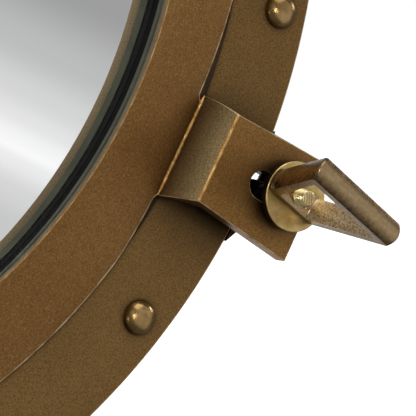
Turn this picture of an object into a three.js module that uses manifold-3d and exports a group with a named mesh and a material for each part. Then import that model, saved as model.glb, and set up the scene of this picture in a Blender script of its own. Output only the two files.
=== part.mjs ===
// Top-hung opening porthole with a mirror pane: a riveted base ring, a hinged
// door ring with two slotted dog lugs, and two swing bolts with bail wing nuts.
//
// Millimetres. The origin is the centre of the rear rim, in the wall's plane.
// +Z is up and the porthole faces -Y. Every piece is first modelled in the
// porthole's own face frame: X right, Y up, Z towards the viewer, with Z = 0
// on the front face of the base flange.

import * as THREE from 'three';
import { mergeVertices } from 'three/addons/utils/BufferGeometryUtils.js';
import Module from 'manifold-3d';

const wasm = await Module();
wasm.setup();

// ---------------------------------------------------------------- dimensions

const GAP = 0.3; // clearance between touching pieces
const HOLE_CLEARANCE = 0.6; // between a rivet or screw and its hole
const PIN_CLEARANCE = 0.45; // between a turning pin or thread and its bore
const OVERCUT = 1; // how far a cutting tool passes the face it cuts
const RING_STEPS = 60; // facets round a large ring
const PIN_STEPS = 12; // facets round a rivet, pin or screw
const SMALL_STEPS = 8; // facets round the retaining screws

// Base: flange, sleeve with its collar, and seat gasket
const FLANGE_RADIUS = 280;
const FLANGE_THICKNESS = 6;
const FLANGE_CHAMFER = 0.8;
const BORE_RADIUS = 225.5;
const WALL_DEPTH = 24; // front of the flange to the wall
const SLEEVE_INNER = 226.5;
const SLEEVE_OUTER = 230;
const COLLAR_RADIUS = 274;
const COLLAR_THICKNESS = 3;
const SEAT_INNER = 227.3;
const SEAT_OUTER = 234.7;
const SEAT_DEPTH = 2.7;

// Rivets through the flange and the collar
const RIVET_COUNT = 12;
const RIVET_CIRCLE = 266.9;
const RIVET_HEAD_RADIUS = 7;
const RIVET_HEAD_HEIGHT = 4.2;
const RIVET_SHANK = 3;
const RIVET_TAIL_RADIUS = 5;
const RIVET_TAIL_HEIGHT = 2.2;
const RIVET_START = 15; // degrees from three o'clock to the first rivet
const RIVET_DOME = [22, 52]; // degrees up the dome at which it is faceted

// Door ring: a low cone outside, a cell for the pane inside
const DOOR_RADIUS = 243.8;
const DOOR_EDGE = 1.3; // height of the cone at its outer edge
const PANE_OPENING = 208.8;
const DOOR_CREST = 11.8; // height of the cone at its inner edge
const WALL_FOOT = 209.9; // the opening's wall leans outwards as it goes in
const LIP_BASE = 6;
const CELL_INNER = 216.5;
const CELL_OUTER = 223.5;
const CELL_BACK = -10.9;
const CONE_SLOPE = (DOOR_CREST - DOOR_EDGE) / (DOOR_RADIUS - PANE_OPENING);

// Pane and the rings that hold it
const PANE_RADIUS = 213.5;
const PANE_FRONT = -3.2;
const PANE_THICKNESS = 4;
const BOARD_THICKNESS = 3;
const GLAZING_INNER = 210.7;
const GLAZING_TOP = 1.2;
const TRIM_BEAD = 209.4;
const TRIM_FOOT = 210.3;
const RETAINER_INNER = 206;
const RETAINER_OUTER = 223.2;
const RETAINER_THICKNESS = 2;
const RETAINER_SCREWS = 8;
const RETAINER_SCREW_CIRCLE = 219.9;
const RETAINER_SCREW_START = 22.5;
const RETAINER_SCREW_RADIUS = 1.4;
const RETAINER_SCREW_HOLE = 1.9;
const RETAINER_SCREW_DEPTH = 5;
const RETAINER_HEAD_RADIUS = 3;
const RETAINER_HEAD_TOP_RADIUS = 2.2;
const RETAINER_HEAD_HEIGHT = 1.8;
const RETAINER_HEAD_RIM = 0.8;

// Dog lugs, at four and eight o'clock
const DOG_ANGLES = { right: -30, left: -150 };
const LUG_ANGLES = { right: -30.28, left: -149.72 }; // hand-set, so the bolt stands high in the slot
const LUG_ROOT = 241.5;
const LUG_ROOT_HEIGHT = 1.4;
const LUG_CREASE = 251;
const LUG_END = 298.8;
const LUG_TOP = 16.4;
const LUG_THICKNESS = 6.4;
const LUG_RAMP_OUT = 2; // how the ramp's bulge leads its chord, outwards and up
const LUG_RAMP_UP = 9.4;
const LUG_THROAT_INNER = 247; // the underside's slope behind the ramp
const LUG_THROAT_OUTER = 255.5;
const LUG_SEAT_HEIGHT = 0.4;
const LUG_ROOT_HALF = 22.3;
const LUG_CREASE_HALF = 19.2;
const LUG_END_HALF = 22;
const SLOT_END = 268.5;
const SLOT_HALF = 5.8;

// Swing bolts in their brackets
const BOLT_CIRCLE = 286.4;
const BOLT_RADIUS = 4;
const BOLT_TIP = 32.4;
const PIVOT_HEIGHT = -4.5;
const EYE_RADIUS = 5.5;
const EYE_HALF = 4;
const EYE_STEPS = 16;
const PIVOT_RADIUS = 2.5;
const EAR_INNER = 8.3;
const EAR_OUTER = 13.5;
const EAR_START = 276;
const EAR_END = 293;
const EAR_NECK = 285.5; // where the shoulder's slope meets the ear
const SHOULDER_RADIUS = 278.6;
const SHOULDER_HALF = 25;
const BRIDGE_START = 274.8;
const BRIDGE_END = 279.8;
const RIM_CLEARANCE = 0.8;
const NOTCH_START = 276.5; // the flange is notched for the swing bolt
const NOTCH_HALF = 7.5;
const BOLT_CHAMFER = 0.9;

// Bail wing nuts, with a washer in a recess under the boss
const NUT_BASE = 20.3;
const NUT_RECESS = 1.2;
const BOSS_RADIUS = 14.2;
const BOSS_TOP = 23.5;
const BOSS_CHAMFER = 0.6;
const BOSS_STEPS = 24;
const WASHER_RADIUS = 9.7;
const WASHER_BASE = 20;
const WASHER_TOP = 21.2;
const BAIL_TURN = -9; // degrees from the dog's own direction
const BAIL_TOP = 66;
const BAIL_BAR = 6.5;
const BAIL_HALF_THICKNESS = 5;
const BAIL_BASE_HALF = 13;
const BAIL_TOP_HALF = 23.5;
const BAIL_ARM = 6;
const BAIL_CORNER = 1.5;
const BAIL_SUNK = 0.4; // how far the bail runs into the boss
const BAIL_RIB = 3.2; // height of the bail's foot over the boss

// Hinge at the top
const HINGE_Y = 258;
const HINGE_HEIGHT = 7.5;
const KNUCKLE_RADIUS = 6;
const KNUCKLE_SPLIT = 9.4; // half-width of the door's knuckle, with its gap
const HINGE_HALF = 26;
const KNUCKLE_STEPS = 16;
const KNUCKLE_GAP = 0.2; // from the split to each knuckle's end
const HINGE_PIN_RADIUS = 2.5;
const HINGE_PIN_HEAD_RADIUS = 3.6;
const HINGE_PIN_HEAD = 1.6;
const LEAF_THICKNESS = 3.5;
const BASE_LEAF_START = 265.5;
const BASE_LEAF_END = 278;
const WEB_START = 256;
const WEB_END = 267;
const DOOR_LEAF_FOOT = 214;
const DOOR_LEAF_HALF = 20;
const DOOR_PAD_END = 240;
const HINGE_SCREW_RADIUS = 1.9;
const HINGE_SCREW_HEAD = [[3.8, 0], [3.1, 1.3], [0, 1.9]]; // radius and height over its seat
const HINGE_BASE_SCREW = { x: 17, y: 272, depth: 3 };
const HINGE_DOOR_SCREW = { x: 12, y: 228, depth: 6.6 };

// ----------------------------------------------------------------- materials

const metal = (color, roughness) =>
  new THREE.MeshStandardMaterial({ color, roughness, metalness: 0.8 });
const plain = (color, roughness) =>
  new THREE.MeshStandardMaterial({ color, roughness, metalness: 0 });

const bronzePaint = metal(0x6b4d2b, 0.45);
const oliveBronze = metal(0x604929, 0.5);
const burnished = metal(0x8a6e44, 0.3);
const brass = metal(0xb08d4f, 0.3);
const trimMetal = metal(0x636656, 0.4);
const steel = metal(0x777777, 0.4);
const mirrorGlass = metal(0xd8dadc, 0.05);
const blackRubber = plain(0x15140f, 0.8);
const greyBoard = plain(0x5a4a38, 0.9);

// ------------------------------------------------------------ solid geometry

/** Turns a closed three.js geometry into a solid whose faces point out. */
function toSolid(geometry) {
  const bare = geometry.clone();
  bare.deleteAttribute('normal');
  bare.deleteAttribute('uv');
  const merged = mergeVertices(bare, 1e-4);
  const faces = [];
  const index = merged.index.array;
  for (let i = 0; i < index.length; i += 3) {
    const [a, b, c] = [index[i], index[i + 1], index[i + 2]];
    if (a !== b && b !== c && c !== a) faces.push(a, b, c);
  }
  const vertProperties = new Float32Array(merged.attributes.position.array);
  const build = (corners) => {
    const triVerts = new Uint32Array(corners);
    return new wasm.Manifold(new wasm.Mesh({ numProp: 3, vertProperties, triVerts }));
  };
  const solid = build(faces);
  return solid.volume() > 0 ? solid : build(faces.toReversed());
}

/** Turns a solid back into a three.js geometry. */
function toGeometry(solid) {
  const mesh = solid.getMesh();
  const geometry = new THREE.BufferGeometry();
  geometry.setAttribute('position', new THREE.BufferAttribute(mesh.vertProperties, 3));
  geometry.setIndex(new THREE.BufferAttribute(mesh.triVerts, 1));
  geometry.computeVertexNormals();
  return geometry;
}

const unite = (...solids) => solids.reduce((whole, solid) => whole.add(solid));
const cut = (solid, ...tools) => tools.reduce((left, tool) => left.subtract(tool), solid);

/** Revolves [radius, height] points round Z. */
function lathe(points, steps = RING_STEPS) {
  const onAxis = points[0][0] === 0;
  const outline = onAxis ? points : [...points, points[0]];
  const geometry = new THREE.LatheGeometry(outline.map(([r, z]) => new THREE.Vector2(r, z)), steps);
  return toSolid(geometry.rotateX(Math.PI / 2));
}

/** A flat ring between two radii and two heights. */
const ring = (inner, outer, low, high, steps = RING_STEPS) =>
  lathe([[inner, low], [outer, low], [outer, high], [inner, high]], steps);

/** A disc or a shaft on the Z axis. */
const shaft = (radius, low, high, steps = PIN_STEPS) =>
  lathe([[0, low], [radius, low], [radius, high], [0, high]], steps);

/** A shape from a list of [x, y] corners. */
const shapeOf = (corners) => new THREE.Shape(corners.map(([x, y]) => new THREE.Vector2(x, y)));

/** Extrudes a shape in X and Y from one height to another. */
function plate(shape, low, high) {
  const options = { depth: high - low, bevelEnabled: false, curveSegments: 6 };
  return toSolid(new THREE.ExtrudeGeometry(shape, options).translate(0, 0, low));
}

/** Extrudes a shape in X and Z along Y, from -half to +half. */
function section(shape, half) {
  const options = { depth: 2 * half, bevelEnabled: false, curveSegments: 5 };
  return toSolid(new THREE.ExtrudeGeometry(shape, options).translate(0, 0, -half).rotateX(Math.PI / 2));
}

const box = (x, y, z) =>
  plate(shapeOf([[x[0], y[0]], [x[1], y[0]], [x[1], y[1]], [x[0], y[1]]]), z[0], z[1]);

const turnX = (solid, degrees) => solid.rotate([degrees, 0, 0]);
const turnY = (solid, degrees) => solid.rotate([0, degrees, 0]);
const turnZ = (solid, degrees) => solid.rotate([0, 0, degrees]);
const move = (solid, x, y, z) => solid.translate([x, y, z]);

/** The same solid at equal steps round Z. */
const around = (solid, radius, count, start = 0) =>
  Array.from({ length: count }, (_, i) => turnZ(move(solid, radius, 0, 0), start + (360 / count) * i));

/** Adds a piece to a group of the scene. */
function addPart(group, name, solid, material) {
  const mesh = new THREE.Mesh(toGeometry(solid), material);
  mesh.name = name;
  group.add(mesh);
  return mesh;
}

const twoDigits = (number) => String(number).padStart(2, '0');

// ---------------------------------------------------------------------- base

const FLANGE_BACK = -FLANGE_THICKNESS;
const COLLAR_FRONT = FLANGE_BACK - GAP;
const COLLAR_BACK = COLLAR_FRONT - COLLAR_THICKNESS;
const BOTH_SIDES = [-1, 1];

function baseFlange() {
  const body = lathe([
    [BORE_RADIUS, FLANGE_BACK],
    [FLANGE_RADIUS, FLANGE_BACK],
    [FLANGE_RADIUS, -FLANGE_CHAMFER],
    [FLANGE_RADIUS - FLANGE_CHAMFER, 0],
    [SEAT_OUTER + GAP, 0],
    [SEAT_OUTER + GAP, -SEAT_DEPTH - GAP],
    [SEAT_INNER - GAP, -SEAT_DEPTH - GAP],
    [SEAT_INNER - GAP, 0],
    [BORE_RADIUS, 0],
  ]);
  const { x, y, depth } = HINGE_BASE_SCREW;
  const rivetHole = shaft(RIVET_SHANK + HOLE_CLEARANCE, FLANGE_BACK - OVERCUT, OVERCUT);
  const screwHole = shaft(HINGE_SCREW_RADIUS + HOLE_CLEARANCE, -depth - HOLE_CLEARANCE, OVERCUT);
  const notch = box(
    [NOTCH_START, FLANGE_RADIUS + OVERCUT],
    [-NOTCH_HALF, NOTCH_HALF],
    [FLANGE_BACK - OVERCUT, OVERCUT],
  );
  return cut(
    body,
    ...Object.values(DOG_ANGLES).map((angle) => turnZ(notch, angle)),
    ...around(rivetHole, RIVET_CIRCLE, RIVET_COUNT, RIVET_START),
    ...BOTH_SIDES.map((side) => move(screwHole, side * x, y, 0)),
  );
}

/** The flat ring behind the flange, round the sleeve. */
function collar() {
  const body = ring(SLEEVE_OUTER + GAP, COLLAR_RADIUS, COLLAR_BACK, COLLAR_FRONT);
  const rivetHole = shaft(RIVET_SHANK + HOLE_CLEARANCE, COLLAR_BACK - OVERCUT, COLLAR_FRONT + OVERCUT);
  return cut(body, ...around(rivetHole, RIVET_CIRCLE, RIVET_COUNT, RIVET_START));
}

function rivet() {
  const dome = RIVET_DOME.map((degrees) => {
    const angle = THREE.MathUtils.degToRad(degrees);
    return [RIVET_HEAD_RADIUS * Math.cos(angle), GAP + RIVET_HEAD_HEIGHT * Math.sin(angle)];
  });
  return lathe([
    [0, COLLAR_BACK - GAP - RIVET_TAIL_HEIGHT],
    [RIVET_TAIL_RADIUS, COLLAR_BACK - GAP - RIVET_TAIL_HEIGHT],
    [RIVET_TAIL_RADIUS, COLLAR_BACK - GAP],
    [RIVET_SHANK, COLLAR_BACK - GAP],
    [RIVET_SHANK, GAP],
    [RIVET_HEAD_RADIUS, GAP],
    ...dome,
    [0, GAP + RIVET_HEAD_HEIGHT],
  ], PIN_STEPS);
}

function addBase(group) {
  addPart(group, 'base_flange', baseFlange(), oliveBronze);
  addPart(group, 'sleeve', ring(SLEEVE_INNER, SLEEVE_OUTER, -WALL_DEPTH, COLLAR_FRONT), oliveBronze);
  addPart(group, 'collar', collar(), oliveBronze);
  addPart(group, 'seat_gasket', ring(SEAT_INNER, SEAT_OUTER, -SEAT_DEPTH, 0), blackRubber);
  around(rivet(), RIVET_CIRCLE, RIVET_COUNT, RIVET_START).forEach((solid, i) => {
    addPart(group, `rivet_${twoDigits(i + 1)}`, solid, burnished);
  });
}

// ---------------------------------------------------------------------- door

const LEAF_TILT = THREE.MathUtils.radToDeg(Math.atan(CONE_SLOPE));
const coneHeight = (radius) => DOOR_EDGE + (DOOR_RADIUS - radius) * CONE_SLOPE;
const leafUnderside = (y) => coneHeight(y) + 1.2 * GAP;
const LEAF_FRONT_AT_SCREW = coneHeight(HINGE_DOOR_SCREW.y) + 2 * GAP + LEAF_THICKNESS;

/** Puts a screw or its hole on the sloping leaf, square to the cone. */
const onDoorLeaf = (solid, side) =>
  move(turnX(solid, -LEAF_TILT), side * HINGE_DOOR_SCREW.x, HINGE_DOOR_SCREW.y, LEAF_FRONT_AT_SCREW);

const aroundRetainer = (solid) =>
  around(solid, RETAINER_SCREW_CIRCLE, RETAINER_SCREWS, RETAINER_SCREW_START);

function doorRing() {
  const body = lathe([
    [PANE_OPENING, DOOR_CREST],
    [WALL_FOOT, LIP_BASE],
    [CELL_INNER, LIP_BASE],
    [CELL_INNER, GAP],
    [DOOR_RADIUS, GAP],
    [DOOR_RADIUS, DOOR_EDGE],
  ]);
  const lugSeat = box(
    [LUG_ROOT - GAP, DOOR_RADIUS + OVERCUT],
    [-LUG_ROOT_HALF - GAP, LUG_ROOT_HALF + GAP],
    [-OVERCUT, coneHeight(LUG_ROOT) + OVERCUT],
  );
  const screwRadius = HINGE_SCREW_RADIUS + HOLE_CLEARANCE;
  const screwHole = shaft(screwRadius, -HINGE_DOOR_SCREW.depth - HOLE_CLEARANCE, OVERCUT);
  return cut(
    body,
    ...Object.values(LUG_ANGLES).map((angle) => turnZ(lugSeat, angle)),
    ...BOTH_SIDES.map((side) => onDoorLeaf(screwHole, side)),
  );
}

/** The tube behind the door ring that holds the glazing. */
function paneCell() {
  const holeEnd = CELL_BACK + RETAINER_SCREW_DEPTH + OVERCUT;
  const hole = shaft(RETAINER_SCREW_HOLE, CELL_BACK - OVERCUT, holeEnd, SMALL_STEPS);
  return cut(ring(CELL_INNER, CELL_OUTER, CELL_BACK, 0), ...aroundRetainer(hole));
}

function retainingRing() {
  const front = CELL_BACK - GAP;
  const back = front - RETAINER_THICKNESS;
  const hole = shaft(RETAINER_SCREW_HOLE, back - OVERCUT, front + OVERCUT, SMALL_STEPS);
  return cut(ring(RETAINER_INNER, RETAINER_OUTER, back, front), ...aroundRetainer(hole));
}

function retainingScrew() {
  const seat = CELL_BACK - RETAINER_THICKNESS - 2 * GAP;
  return lathe([
    [0, seat - RETAINER_HEAD_HEIGHT],
    [RETAINER_HEAD_TOP_RADIUS, seat - RETAINER_HEAD_HEIGHT],
    [RETAINER_HEAD_RADIUS, seat - RETAINER_HEAD_RIM],
    [RETAINER_HEAD_RADIUS, seat],
    [RETAINER_SCREW_RADIUS, seat],
    [RETAINER_SCREW_RADIUS, CELL_BACK + RETAINER_SCREW_DEPTH],
    [0, CELL_BACK + RETAINER_SCREW_DEPTH],
  ], SMALL_STEPS);
}

/** A lug in its dog's frame: X outwards, Y along the rim, Z to the front. */
function dogLug() {
  const side = new THREE.Shape();
  side.moveTo(LUG_ROOT, LUG_SEAT_HEIGHT);
  side.lineTo(LUG_ROOT, LUG_ROOT_HEIGHT);
  side.quadraticCurveTo(LUG_ROOT + LUG_RAMP_OUT, LUG_RAMP_UP, LUG_CREASE, LUG_TOP);
  side.lineTo(LUG_END, LUG_TOP);
  side.lineTo(LUG_END, LUG_TOP - LUG_THICKNESS);
  side.lineTo(LUG_THROAT_OUTER, LUG_TOP - LUG_THICKNESS);
  side.lineTo(LUG_THROAT_INNER, LUG_SEAT_HEIGHT);
  const outline = shapeOf([
    [LUG_ROOT, -LUG_ROOT_HALF],
    [LUG_CREASE, -LUG_CREASE_HALF],
    [LUG_END, -LUG_END_HALF],
    [LUG_END, LUG_END_HALF],
    [LUG_CREASE, LUG_CREASE_HALF],
    [LUG_ROOT, LUG_ROOT_HALF],
  ]);
  const slotCentre = SLOT_END + SLOT_HALF;
  const slot = new THREE.Shape();
  slot.moveTo(LUG_END + OVERCUT, -SLOT_HALF);
  slot.lineTo(LUG_END + OVERCUT, SLOT_HALF);
  slot.lineTo(slotCentre, SLOT_HALF);
  slot.absarc(slotCentre, 0, SLOT_HALF, Math.PI / 2, 1.5 * Math.PI, false);
  const blank = section(side, LUG_END_HALF + OVERCUT).intersect(plate(outline, 0, LUG_TOP + OVERCUT));
  return cut(blank, plate(slot, 0, LUG_TOP + OVERCUT));
}

function addDoor(group) {
  const paneBack = PANE_FRONT - PANE_THICKNESS;
  const boardFront = paneBack - GAP;
  const glazing = ring(GLAZING_INNER, CELL_INNER - GAP, PANE_FRONT + GAP, GLAZING_TOP);
  const board = shaft(PANE_RADIUS, boardFront - BOARD_THICKNESS, boardFront, RING_STEPS);
  addPart(group, 'door_ring', doorRing(), bronzePaint);
  addPart(group, 'pane_cell', paneCell(), bronzePaint);
  for (const [side, angle] of Object.entries(LUG_ANGLES)) {
    addPart(group, `dog_lug_${side}`, turnZ(dogLug(), angle), bronzePaint);
  }
  addPart(group, 'trim_ring', lathe([
    [TRIM_FOOT, GLAZING_TOP + GAP],
    [CELL_INNER - GAP, GLAZING_TOP + GAP],
    [CELL_INNER - GAP, LIP_BASE - GAP],
    [TRIM_BEAD, LIP_BASE - GAP],
  ]), trimMetal);
  addPart(group, 'glazing_gasket', glazing, blackRubber);
  addPart(group, 'mirror_pane', shaft(PANE_RADIUS, paneBack, PANE_FRONT, RING_STEPS), mirrorGlass);
  addPart(group, 'backing_board', board, greyBoard);
  addPart(group, 'retaining_ring', retainingRing(), bronzePaint);
  aroundRetainer(retainingScrew()).forEach((solid, i) => {
    addPart(group, `retaining_screw_${i + 1}`, solid, steel);
  });
}

// --------------------------------------------------------------------- hinge

const alongX = (solid) => turnY(solid, 90);
const atHinge = (solid) => move(solid, 0, HINGE_Y, HINGE_HEIGHT);

/** Extrudes [y, z] points along X, from -half to +half. */
const hingeSection = (corners, half) => turnZ(section(shapeOf(corners), half), 90);

/** A knuckle's barrel on the hinge line, between two X positions. */
const barrel = (low, high) => atHinge(alongX(shaft(KNUCKLE_RADIUS, low, high, KNUCKLE_STEPS)));
const pinBore = atHinge(alongX(shaft(HINGE_PIN_RADIUS + PIN_CLEARANCE, -HINGE_HALF - 1, HINGE_HALF + 1)));

function hingeBaseLeaf() {
  const { x, y } = HINGE_BASE_SCREW;
  const top = GAP + LEAF_THICKNESS;
  const foot = box([-HINGE_HALF, HINGE_HALF], [BASE_LEAF_START, BASE_LEAF_END], [GAP, top]);
  const inner = KNUCKLE_SPLIT + KNUCKLE_GAP;
  const knuckles = [[inner, HINGE_HALF], [-HINGE_HALF, -inner]].map(([low, high]) =>
    unite(barrel(low, high), box([low, high], [WEB_START, WEB_END], [GAP, HINGE_HEIGHT])));
  const screwHole = shaft(HINGE_SCREW_RADIUS + HOLE_CLEARANCE, -OVERCUT, top + OVERCUT);
  const holes = BOTH_SIDES.map((side) => move(screwHole, side * x, y, 0));
  return cut(unite(foot, ...knuckles), pinBore, ...holes);
}

function hingeDoorLeaf() {
  const half = KNUCKLE_SPLIT - KNUCKLE_GAP;
  const front = (y) => leafUnderside(y) + LEAF_THICKNESS + GAP;
  const strap = hingeSection([
    [DOOR_LEAF_FOOT, leafUnderside(DOOR_LEAF_FOOT)],
    [DOOR_RADIUS, leafUnderside(DOOR_RADIUS)],
    [HINGE_Y, HINGE_HEIGHT - KNUCKLE_RADIUS],
    [HINGE_Y, HINGE_HEIGHT],
    [DOOR_RADIUS, front(DOOR_RADIUS)],
    [DOOR_LEAF_FOOT, front(DOOR_LEAF_FOOT)],
  ], half);
  const pad = hingeSection([
    [DOOR_LEAF_FOOT, leafUnderside(DOOR_LEAF_FOOT)],
    [DOOR_PAD_END, leafUnderside(DOOR_PAD_END)],
    [DOOR_PAD_END, front(DOOR_PAD_END)],
    [DOOR_LEAF_FOOT, front(DOOR_LEAF_FOOT)],
  ], DOOR_LEAF_HALF);
  const screwHole = shaft(HINGE_SCREW_RADIUS + HOLE_CLEARANCE, -HINGE_DOOR_SCREW.depth, 2 * OVERCUT);
  const holes = BOTH_SIDES.map((side) => onDoorLeaf(screwHole, side));
  return cut(unite(barrel(-half, half), strap, pad), pinBore, ...holes);
}

function hingePin() {
  const tip = HINGE_HALF + GAP;
  return atHinge(alongX(lathe([
    [0, -tip - HINGE_PIN_HEAD],
    [HINGE_PIN_HEAD_RADIUS, -tip - HINGE_PIN_HEAD],
    [HINGE_PIN_HEAD_RADIUS, -tip],
    [HINGE_PIN_RADIUS, -tip],
    [HINGE_PIN_RADIUS, tip],
    [HINGE_PIN_HEAD_RADIUS, tip],
    [HINGE_PIN_HEAD_RADIUS, tip + HINGE_PIN_HEAD],
    [0, tip + HINGE_PIN_HEAD],
  ], PIN_STEPS)));
}

/** A round-headed screw whose head sits on Z = 0. */
const hingeScrew = (length) => lathe([
  [0, -length],
  [HINGE_SCREW_RADIUS, -length],
  [HINGE_SCREW_RADIUS, GAP],
  ...HINGE_SCREW_HEAD.map(([radius, height]) => [radius, GAP + height]),
], PIN_STEPS);

function addHinge(group) {
  addPart(group, 'hinge_base_leaf', hingeBaseLeaf(), bronzePaint);
  addPart(group, 'hinge_door_leaf', hingeDoorLeaf(), bronzePaint);
  addPart(group, 'hinge_pin', hingePin(), brass);
  const { x, y, depth } = HINGE_BASE_SCREW;
  const baseTop = GAP + LEAF_THICKNESS;
  const baseScrew = hingeScrew(baseTop + depth);
  const doorScrew = hingeScrew(HINGE_DOOR_SCREW.depth);
  BOTH_SIDES.forEach((side, i) => {
    addPart(group, `hinge_base_screw_${i + 1}`, move(baseScrew, side * x, y, baseTop), burnished);
    addPart(group, `hinge_door_screw_${i + 1}`, onDoorLeaf(doorScrew, side), burnished);
  });
}

// ---------------------------------------------------------------------- dogs

const alongY = (solid) => turnX(solid, -90);
const atPivot = (solid) => move(solid, BOLT_CIRCLE, 0, PIVOT_HEIGHT);
const pivotHole = (half) => atPivot(alongY(shaft(PIVOT_RADIUS + PIN_CLEARANCE, -half, half, EYE_STEPS)));

/** Two ears outside the rim, joined by a plate behind the flange. */
function dogBracket() {
  const ears = BOTH_SIDES.map((side) => plate(shapeOf([
    [EAR_START, side * EAR_INNER],
    [EAR_END, side * EAR_INNER],
    [EAR_END, side * EAR_OUTER],
    [EAR_NECK, side * EAR_OUTER],
    [SHOULDER_RADIUS, side * SHOULDER_HALF],
    [EAR_START, side * SHOULDER_HALF],
  ]), COLLAR_BACK, 0));
  const rim = shaft(FLANGE_RADIUS + RIM_CLEARANCE, COLLAR_FRONT, OVERCUT, RING_STEPS);
  const bridge = box(
    [BRIDGE_START, BRIDGE_END],
    [-SHOULDER_HALF, SHOULDER_HALF],
    [COLLAR_BACK, COLLAR_FRONT],
  );
  return cut(unite(bridge, ...ears.map((ear) => cut(ear, rim))), pivotHole(SHOULDER_HALF));
}

function swingBolt() {
  const eye = atPivot(alongY(shaft(EYE_RADIUS, -EYE_HALF, EYE_HALF, EYE_STEPS)));
  const shank = move(lathe([
    [0, PIVOT_HEIGHT],
    [BOLT_RADIUS, PIVOT_HEIGHT],
    [BOLT_RADIUS, BOLT_TIP - BOLT_CHAMFER],
    [BOLT_RADIUS - BOLT_CHAMFER, BOLT_TIP],
    [0, BOLT_TIP],
  ], EYE_STEPS), BOLT_CIRCLE, 0, 0);
  return cut(unite(eye, shank), pivotHole(EYE_HALF + OVERCUT));
}

function nutWasher() {
  const washer = ring(BOLT_RADIUS + PIN_CLEARANCE, WASHER_RADIUS, WASHER_BASE, WASHER_TOP, BOSS_STEPS);
  return move(washer, BOLT_CIRCLE, 0, 0);
}

function wingNut() {
  const bore = BOLT_RADIUS + PIN_CLEARANCE;
  const boss = lathe([
    [bore, NUT_BASE + NUT_RECESS],
    [WASHER_RADIUS + GAP, NUT_BASE + NUT_RECESS],
    [WASHER_RADIUS + GAP, NUT_BASE],
    [BOSS_RADIUS, NUT_BASE],
    [BOSS_RADIUS, BOSS_TOP - BOSS_CHAMFER],
    [BOSS_RADIUS - BOSS_CHAMFER, BOSS_TOP],
    [bore, BOSS_TOP],
  ], BOSS_STEPS);
  const outline = shapeOf([
    [-BAIL_BASE_HALF, BOSS_TOP - BAIL_SUNK],
    [BAIL_BASE_HALF, BOSS_TOP - BAIL_SUNK],
    [BAIL_TOP_HALF, BAIL_TOP - BAIL_CORNER],
    [BAIL_TOP_HALF - BAIL_CORNER, BAIL_TOP],
    [-BAIL_TOP_HALF + BAIL_CORNER, BAIL_TOP],
    [-BAIL_TOP_HALF, BAIL_TOP - BAIL_CORNER],
  ]);
  const loopBase = BAIL_BASE_HALF - BAIL_ARM;
  const loopTop = BAIL_TOP_HALF - BAIL_ARM;
  outline.holes.push(shapeOf([
    [-loopBase, BOSS_TOP + BAIL_RIB],
    [loopBase, BOSS_TOP + BAIL_RIB],
    [loopTop, BAIL_TOP - BAIL_BAR],
    [-loopTop, BAIL_TOP - BAIL_BAR],
  ]));
  const bail = section(outline, BAIL_HALF_THICKNESS);
  const clear = shaft(bore, NUT_BASE, BOSS_TOP + BAIL_RIB + OVERCUT, BOSS_STEPS);
  return move(turnZ(cut(unite(boss, bail), clear), BAIL_TURN), BOLT_CIRCLE, 0, 0);
}

function addDog(group, side, angle) {
  const pivotPin = atPivot(alongY(shaft(PIVOT_RADIUS, -EAR_OUTER + GAP, EAR_OUTER - GAP)));
  addPart(group, `dog_bracket_${side}`, turnZ(dogBracket(), angle), oliveBronze);
  addPart(group, `pivot_pin_${side}`, turnZ(pivotPin, angle), brass);
  addPart(group, `swing_bolt_${side}`, turnZ(swingBolt(), angle), brass);
  addPart(group, `nut_washer_${side}`, turnZ(nutWasher(), angle), brass);
  addPart(group, `wing_nut_${side}`, turnZ(wingNut(), angle), burnished);
}

// ------------------------------------------------------------------ assembly

const face = new THREE.Group();
addBase(face);
addDoor(face);
addHinge(face);
for (const [side, angle] of Object.entries(DOG_ANGLES)) addDog(face, side, angle);

// The face frame's Z turns to -Y, and the rear rim goes to the wall's plane.
face.rotation.x = Math.PI / 2;
face.position.y = -WALL_DEPTH;

const porthole = new THREE.Group();
porthole.add(face);

export default porthole;
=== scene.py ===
"""The opening porthole's looks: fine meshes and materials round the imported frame.

Pieces are modelled in the porthole's face frame, in millimetres: X right, Y up, Z towards the
viewer, with Z = 0 on the flange's front face. FACE turns that into the frame's metres.
"""
import math
import random

import bpy
import bmesh
from mathutils import Matrix, Vector


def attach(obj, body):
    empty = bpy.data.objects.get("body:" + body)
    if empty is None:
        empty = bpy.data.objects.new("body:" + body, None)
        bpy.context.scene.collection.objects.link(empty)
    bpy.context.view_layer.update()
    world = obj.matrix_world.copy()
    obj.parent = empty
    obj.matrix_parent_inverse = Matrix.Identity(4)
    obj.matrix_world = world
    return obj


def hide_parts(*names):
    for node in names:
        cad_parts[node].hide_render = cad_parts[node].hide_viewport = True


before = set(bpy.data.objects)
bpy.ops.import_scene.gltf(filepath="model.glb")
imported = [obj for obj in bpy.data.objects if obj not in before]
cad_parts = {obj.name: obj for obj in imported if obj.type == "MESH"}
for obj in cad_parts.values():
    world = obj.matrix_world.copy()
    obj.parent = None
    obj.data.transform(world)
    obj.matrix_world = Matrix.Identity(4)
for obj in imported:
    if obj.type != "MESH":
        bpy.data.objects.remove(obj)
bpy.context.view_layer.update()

# ---------------- driving dimensions (mm)

MM = 0.001
TAU = 2 * math.pi
TIP_DOME = 0.25
TIP_SHARE = 0.86  # of a rod's radius that its flat tip keeps
TIP_ROUND = 1.2
STUD_TAPER = 0.09  # how fast the stud narrows over the nut
TAPER_LENGTH = 8
THREAD_DEPTH = 0.61  # of the pitch
THREAD_RUNOUT = 1.5
WALL_DEPTH = 24.0
FACE = Matrix(((MM, 0, 0, 0), (0, 0, -MM, -WALL_DEPTH * MM), (0, MM, 0, 0), (0, 0, 0, 1)))
RING_STEPS = 300
GAP = 0.3  # between pieces that are joined or seated
SCREW_LIFT = 0.05
WELD = 0.0005  # vertices closer than this are one

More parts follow.
